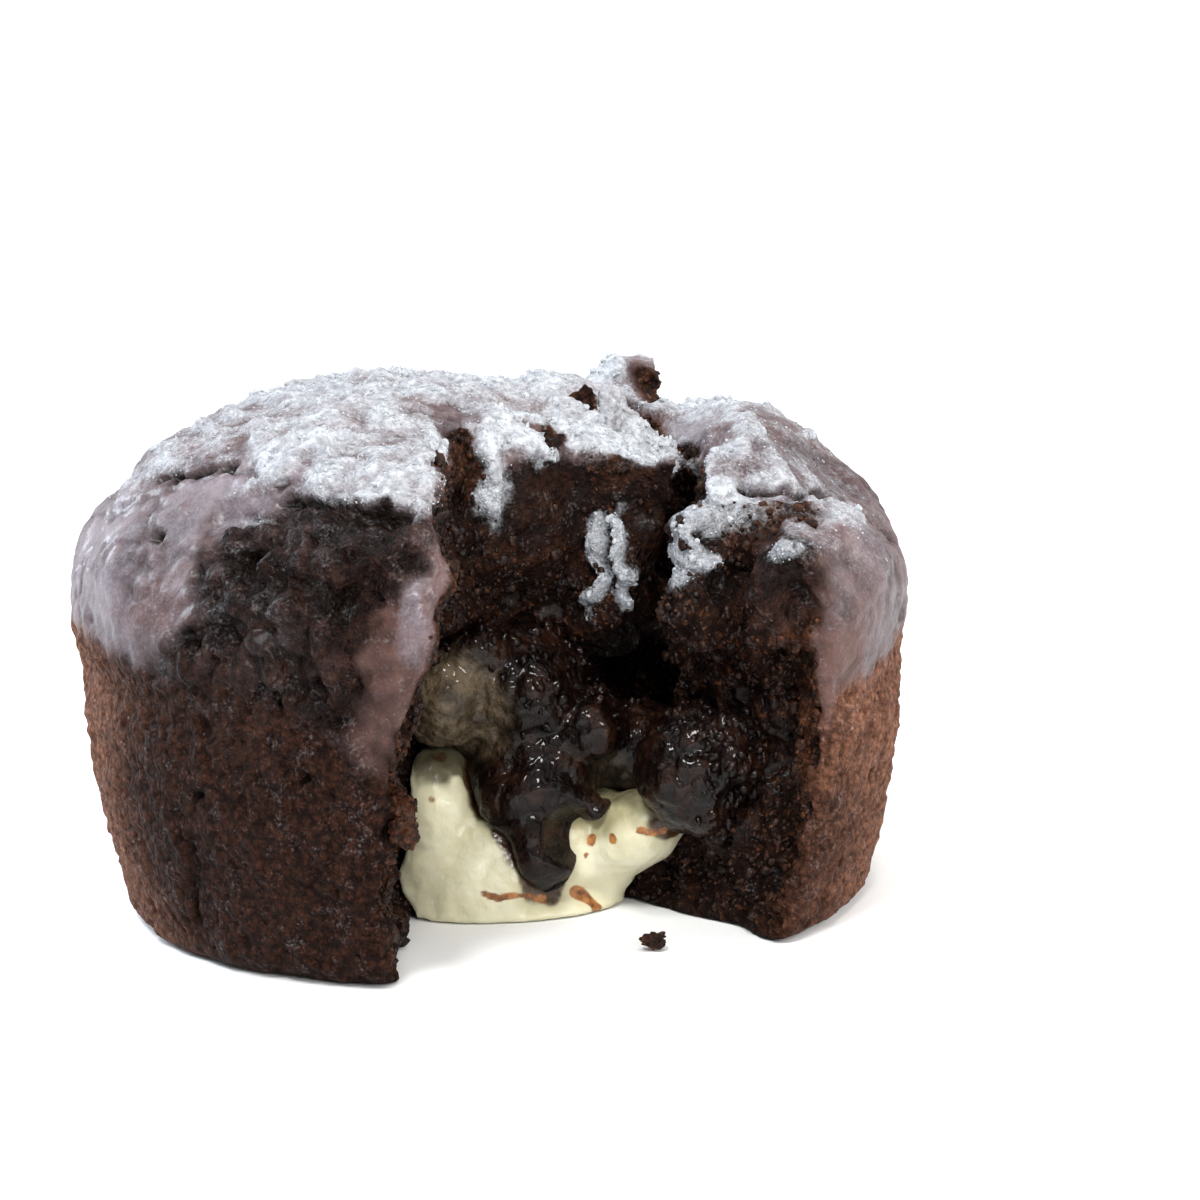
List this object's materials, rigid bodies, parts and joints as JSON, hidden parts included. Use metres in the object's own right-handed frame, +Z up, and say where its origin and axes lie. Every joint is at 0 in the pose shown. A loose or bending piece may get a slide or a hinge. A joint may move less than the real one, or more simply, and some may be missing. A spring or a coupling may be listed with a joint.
{
  "type": "lava cake",
  "caption": "Small domed chocolate cake, torn open at the front to show a dark molten sauce running over a heap of pale cream.",
  "frame": {"origin": "on the ground under the middle of the cake", "axes": "+Z up, out of the dome; the tear opens towards -Y; +X to the right as seen from the tear"},
  "size_m": [0.0799, 0.079, 0.0504],
  "materials": {
    "cake": "baked chocolate sponge, dusted with icing sugar on top",
    "cream": "soft pale cream, slightly shiny",
    "sauce": "wet dark chocolate"
  },
  "bodies": {
    "root": {"cake": "cake", "cream": "cream", "sauce": "sauce"}
  },
  "joints": []
}
